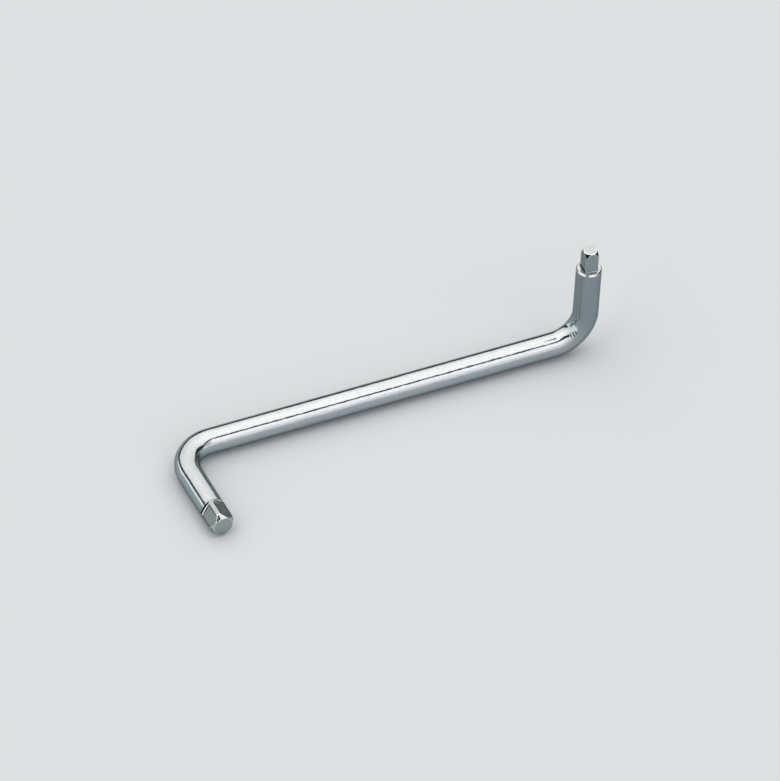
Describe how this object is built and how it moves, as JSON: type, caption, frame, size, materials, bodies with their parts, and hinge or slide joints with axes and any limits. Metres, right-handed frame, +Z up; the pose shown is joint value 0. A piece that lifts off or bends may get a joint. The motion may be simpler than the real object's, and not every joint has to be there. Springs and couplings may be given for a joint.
{
  "type": "drain plug key",
  "caption": "Round plated steel bar bent at a right angle at each end, its arms set a quarter turn apart, with a large and a small square drive for turning drain plugs.",
  "frame": {"origin": "middle of the bottom of the key's box, on the floor that it lies on", "axes": "+X along the shank towards the upper arm, +Z up along the upper arm, and the lower arm points along -Y"},
  "size_m": [0.274, 0.075, 0.0745],
  "materials": {
    "plated_bar": "gloss",
    "plated_drive": "satin"
  },
  "bodies": {
    "root": {"grip_shank": "plated_bar", "lower_bend": "plated_bar", "lower_arm": "plated_bar", "large_square_drive": "plated_drive", "upper_bend": "plated_bar", "upper_arm": "plated_bar", "small_square_drive": "plated_drive"}
  },
  "joints": []
}
